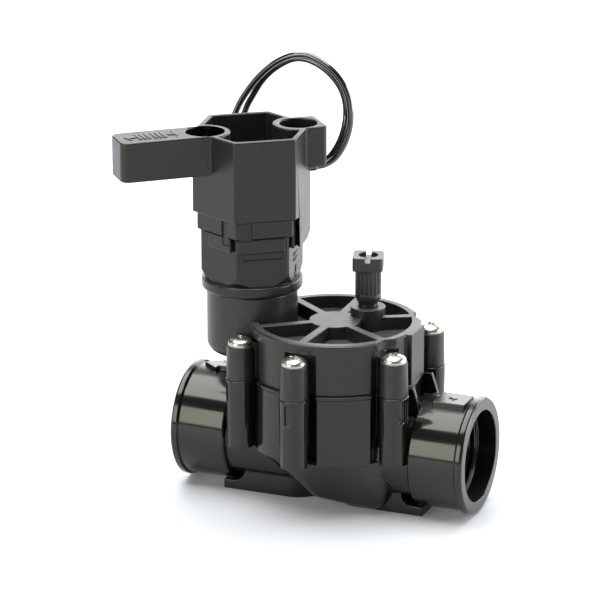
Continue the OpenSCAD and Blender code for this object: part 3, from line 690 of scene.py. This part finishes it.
def makeSetOut():
    # one screw at each point, each turned by chance about its own axis
    tree = bpy.data.node_groups.new("setOutScrews", "GeometryNodeTree")
    source, result = groupSockets(
        tree,
        [("Geometry", "NodeSocketGeometry", None), ("Screw", "NodeSocketObject", None),
         ("Seed", "NodeSocketInt", 1), ("Finish", "NodeSocketMaterial", None)],
        [("Geometry", "NodeSocketGeometry")])
    info = tree.nodes.new("GeometryNodeObjectInfo")
    tree.links.new(source.outputs["Screw"], info.inputs["Object"])
    turn = tree.nodes.new("FunctionNodeRandomValue")
    turn.data_type = "FLOAT_VECTOR"
    turn.inputs[0].default_value = (0, 0, 0)
    turn.inputs[1].default_value = (0, 0, 2 * math.pi)
    tree.links.new(source.outputs["Seed"], turn.inputs["Seed"])
    place = tree.nodes.new("GeometryNodeInstanceOnPoints")
    tree.links.new(source.outputs["Geometry"], place.inputs["Points"])
    tree.links.new(info.outputs["Geometry"], place.inputs["Instance"])
    tree.links.new(turn.outputs["Value"], place.inputs["Rotation"])
    solid = tree.nodes.new("GeometryNodeRealizeInstances")
    tree.links.new(place.outputs["Instances"], solid.inputs["Geometry"])
    coat = tree.nodes.new("GeometryNodeSetMaterial")
    tree.links.new(solid.outputs["Geometry"], coat.inputs["Geometry"])
    tree.links.new(source.outputs["Finish"], coat.inputs["Material"])
    tree.links.new(coat.outputs["Geometry"], result.inputs["Geometry"])
    return tree


def socketId(tree, name):
    return next(s.identifier for s in tree.interface.items_tree
                if s.name == name and s.in_out == "INPUT")


def addScrews(s):
    head = makeScrewMesh(s)
    points = bpy.data.meshes.new("bonnetScrews")
    points.from_pydata([(s["circle"] * math.cos(math.radians(a)),
                         s["circle"] * math.sin(math.radians(a)), 0) for a in s["angles"]], [], [])
    piece = bpy.data.objects.new("bonnetScrews", points)
    scene.collection.objects.link(piece)
    tree = makeSetOut()
    spread = piece.modifiers.new("setOut", "NODES")
    spread.node_group = tree
    spread[socketId(tree, "Screw")] = head
    spread[socketId(tree, "Seed")] = s["seed"]
    spread[socketId(tree, "Finish")] = finishes["screw_steel"]
    bakeAndSmooth(piece)
    bpy.data.objects.remove(head)
    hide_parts("bonnet_screws")
    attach(piece, "valve")


addScrews(screwSet)
print("screws set out")


# pipe thread inside each port: a ridge swept along a helix by a node tree, whose inputs
# have the dictionary's names

threadSet = {"Radius": 15.62 * mm, "Pitch": 2.21 * mm, "Turns": 6.0, "Ridge": 0.62 * mm}
threadStart = 35.6 * mm  # from the valve's middle


def makeThreadTree():
    tree = bpy.data.node_groups.new("pipeThread", "GeometryNodeTree")
    source, result = groupSockets(
        tree,
        [(name, "NodeSocketFloat", size) for name, size in threadSet.items()]
        + [("Finish", "NodeSocketMaterial", None)],
        [("Geometry", "NodeSocketGeometry")])
    helix = tree.nodes.new("GeometryNodeCurveSpiral")
    helix.inputs["Resolution"].default_value = 72
    tree.links.new(source.outputs["Turns"], helix.inputs["Rotations"])
    tree.links.new(source.outputs["Radius"], helix.inputs["Start Radius"])
    tree.links.new(source.outputs["Radius"], helix.inputs["End Radius"])
    rise = mathNode(tree, "MULTIPLY", source.outputs["Turns"], source.outputs["Pitch"])
    tree.links.new(rise, helix.inputs["Height"])
    profile = tree.nodes.new("GeometryNodeCurvePrimitiveCircle")
    profile.inputs["Resolution"].default_value = 6
    tree.links.new(source.outputs["Ridge"], profile.inputs["Radius"])
    ridge = tree.nodes.new("GeometryNodeCurveToMesh")
    tree.links.new(helix.outputs["Curve"], ridge.inputs["Curve"])
    tree.links.new(profile.outputs["Curve"], ridge.inputs["Profile Curve"])
    ridge.inputs["Fill Caps"].default_value = True
    solid = tree.nodes.new("GeometryNodeRealizeInstances")
    tree.links.new(ridge.outputs["Mesh"], solid.inputs["Geometry"])
    coat = tree.nodes.new("GeometryNodeSetMaterial")
    tree.links.new(solid.outputs["Geometry"], coat.inputs["Geometry"])
    tree.links.new(source.outputs["Finish"], coat.inputs["Material"])
    tree.links.new(coat.outputs["Geometry"], result.inputs["Geometry"])
    return tree


def addThread(name, turn, tree):
    flowZ = next(m["pos_m"][2] for m in frame["record"]["mounts"] if m["name"] == "inlet")
    mesh = bpy.data.meshes.new(name)
    piece = bpy.data.objects.new(name, mesh)
    scene.collection.objects.link(piece)
    wind = piece.modifiers.new("wind", "NODES")
    wind.node_group = tree
    for label, size in threadSet.items():
        wind[socketId(tree, label)] = size
    wind[socketId(tree, "Finish")] = finishes["moulded_body"]
    bakeAndSmooth(piece, 60)
    lay = (Matrix.Translation((0, 0, flowZ)) @ Matrix.Rotation(turn, 4, "Z")
           @ Matrix.Translation((threadStart, 0, 0)) @ Matrix.Rotation(math.pi / 2, 4, "Y"))
    piece.data.transform(lay)
    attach(piece, "valve")


pipeThread = makeThreadTree()
addThread("inletThread", 0, pipeThread)
addThread("outletThread", math.pi, pipeThread)
print("threads cut")


# raised marks: plain arrows and bars. Their outlines are in millimetres on their own face,
# and what is multiplied by mm is a place or a thickness

markSet = {"height": 0.25 * mm, "root": 0.05 * mm, "edge": 0.08 * mm}
leverMarkSet = {"outArrow": 47.5, "inArrow": 27.2, "arrowLength": 4.2, "arrowWidth": 8,
                "ridgeGroups": (32.6, 38.4), "ridges": 3, "ridgeStep": 1.75, "ridgeLength": 1.0,
                "ridgeHalf": 3.8}
housingMarkSet = {"faceAngle": 150, "cornerRadius": 19.1 * mm, "z": 86 * mm, "arrowLength": 4.6,
                  "arrowWidth": 6, "arrowTip": -6.2, "lines": (0.4, 2.4), "lineHalf": 3,
                  "lineWidth": 1.0}
inletMarkSet = {"at": (46.6 * mm, -2.9 * mm, 43.1 * mm), "tip": -4.6, "width": 4.4,
                "long": 6.6, "short": 3.2, "gap": 6.4}


def addMarks(name, outlines, place, slotName, body):
    # place lays outlines drawn in the XY plane on their face
    work = bmesh.new()
    for outline in outlines:
        base, top = [[work.verts.new((x * mm, y * mm, z)) for x, y in outline]
                     for z in (-markSet["root"], markSet["height"])]
        work.faces.new(base[::-1])
        work.faces.new(top)
        for k in range(len(outline)):
            j = (k + 1) % len(outline)
            work.faces.new((base[k], base[j], top[j], top[k]))
    piece = asObject(name, work)
    bevel = piece.modifiers.new("edge", "BEVEL")
    bevel.width, bevel.segments = markSet["edge"], 2
    bakeAndSmooth(piece)
    piece.data.transform(place)
    paint(piece, slotName)
    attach(piece, body)


def arrow(x, y, length, width, flip=1):
    # its tip is at (x, y), and it points along x, or back along it when flip is -1
    head, stem = 0.45 * length, 0.3 * width
    points = [(0, 0), (-head, width / 2), (-head, stem / 2), (-length, stem / 2),
              (-length, -stem / 2), (-head, -stem / 2), (-head, -width / 2)]
    return [(x + flip * px, y + flip * py) for px, py in points]


def bar(x0, x1, y0, y1):
    return [(x0, y0), (x1, y0), (x1, y1), (x0, y1)]


def facePlace(origin, along, up):
    along, up = along.normalized(), up.normalized()
    turned = Matrix((along, up, along.cross(up))).transposed().to_4x4()
    return Matrix.Translation(origin) @ turned


towerSpin = Matrix.Rotation(leverTurn, 3, "Z")


def addLeverMarks(m):
    length, width, half = m["arrowLength"], m["arrowWidth"], m["ridgeHalf"]
    outlines = [arrow(m["outArrow"], 0, length, width), arrow(m["inArrow"], 0, length, width, -1)]
    for first in m["ridgeGroups"]:
        for k in range(m["ridges"]):
            x = first + k * m["ridgeStep"]
            outlines.append(bar(x, x + m["ridgeLength"], -half, half))
    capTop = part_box("handle_cap")[1].z
    place = facePlace(atTower(0, 0, capTop), towerSpin @ Vector((1, 0, 0)),
                      towerSpin @ Vector((0, 1, 0)))
    addMarks("leverMarks", outlines, place, "moulded_handle", "solenoid")


def addHousingMarks(m):
    # on the housing's face that looks towards the inlet
    upright = arrow(m["arrowTip"], 0, m["arrowLength"], m["arrowWidth"], -1)
    outlines = [[(-y, x) for x, y in upright]]
    for low in m["lines"]:
        outlines.append(bar(-m["lineHalf"], m["lineHalf"], low, low + m["lineWidth"]))
    facing = math.radians(m["faceAngle"]) + hexTurn
    faceOut = Vector((math.cos(facing), math.sin(facing), 0))
    flat = m["cornerRadius"] * math.cos(math.radians(30))
    middle = atTower(faceOut.x * flat, faceOut.y * flat, m["z"])
    up = Vector((0, 0, 1))
    addMarks("housingArrow", outlines, facePlace(middle, up.cross(towerSpin @ faceOut), up),
             "moulded_solenoid", "solenoid")


def addInletMarks(m):
    second = arrow(m["tip"], 0, m["short"], m["width"])
    outlines = [arrow(m["tip"], 0, m["long"], m["width"]),
                [(x + m["gap"], y) for x, y in second]]
    addMarks("inletArrow", outlines, Matrix.Translation(m["at"]), "moulded_body", "valve")


addLeverMarks(leverMarkSet)
addHousingMarks(housingMarkSet)
addInletMarks(inletMarkSet)
print("marks raised")


# floor and lights

floorSet = {"half": 4.0, "tone": (0.48, 0.495, 0.515), "glowFrom": 0.25, "glowTo": 1.3,
            "nearGlow": 0.07, "farGlow": 0.8}


def addFloor(f):
    # plain and pale, and lit further away as if it curved up into a white wall
    mesh = bpy.data.meshes.new("floor")
    half = f["half"]
    mesh.from_pydata([(-half, -half, 0), (half, -half, 0), (half, half, 0), (-half, half, 0)],
                     [], [(0, 1, 2, 3)])
    floor = bpy.data.objects.new("floor", mesh)
    scene.collection.objects.link(floor)
    material, tree, shader, place = newMaterial("paleFloor")
    away = tree.nodes.new("ShaderNodeVectorMath")
    away.operation = "LENGTH"
    tree.links.new(place.outputs["Object"], away.inputs[0])
    glow = rangeNode(tree, away.outputs["Value"], f["glowFrom"], f["glowTo"], f["nearGlow"],
                     f["farGlow"])
    shader.inputs["Base Color"].default_value = (*f["tone"], 1)
    shader.inputs["Roughness"].default_value = 0.6
    shader.inputs["Emission Color"].default_value = (1, 1, 1, 1)
    tree.links.new(glow, shader.inputs["Emission Strength"])
    mesh.materials.append(material)


lightAim = Vector((-0.01, 0, 0.06))
lightSet = {
    "overhead": {"at": (-0.15, 0.0, 1.25), "size": (1.3, 1.4), "power": 38, "tint": (1, 1, 1)},
    "behind": {"at": (-0.1, 1.5, 0.65), "size": (3.2, 1.0), "power": 42, "tint": (0.96, 0.98, 1)},
    "right": {"at": (1.25, 0.55, 0.35), "size": (0.9, 0.8), "power": 22, "tint": (1, 1, 1)},
    "front": {"at": (-0.68, -1.55, 0.6), "size": (1.0, 0.95), "power": 15,
              "tint": (1, 0.97, 0.9)},
    "left": {"at": (-1.4, -0.5, 0.4), "size": (0.4, 0.7), "power": 2.5, "tint": (1, 1, 1)},
}


def addLight(name, settings):
    light = bpy.data.lights.new(name, "AREA")
    light.shape = "RECTANGLE"
    light.size, light.size_y = settings["size"]
    light.energy, light.color = settings["power"], settings["tint"]
    lamp = bpy.data.objects.new(name, light)
    lamp.location = settings["at"]
    aim = lightAim - Vector(settings["at"])
    lamp.rotation_euler = aim.to_track_quat("-Z", "Y").to_euler()
    scene.collection.objects.link(lamp)


worldSet = {"tint": (0.9, 0.93, 1), "strength": 0.15}


def addWorld(w):
    world = bpy.data.worlds.new("studio")
    world.use_nodes = True
    background = world.node_tree.nodes["Background"]
    background.inputs["Color"].default_value = (*w["tint"], 1)
    background.inputs["Strength"].default_value = w["strength"]
    scene.world = world


addFloor(floorSet)
for name, settings in lightSet.items():
    addLight(name, settings)
addWorld(worldSet)
scene.view_settings.view_transform = "Standard"
print("stage lit")
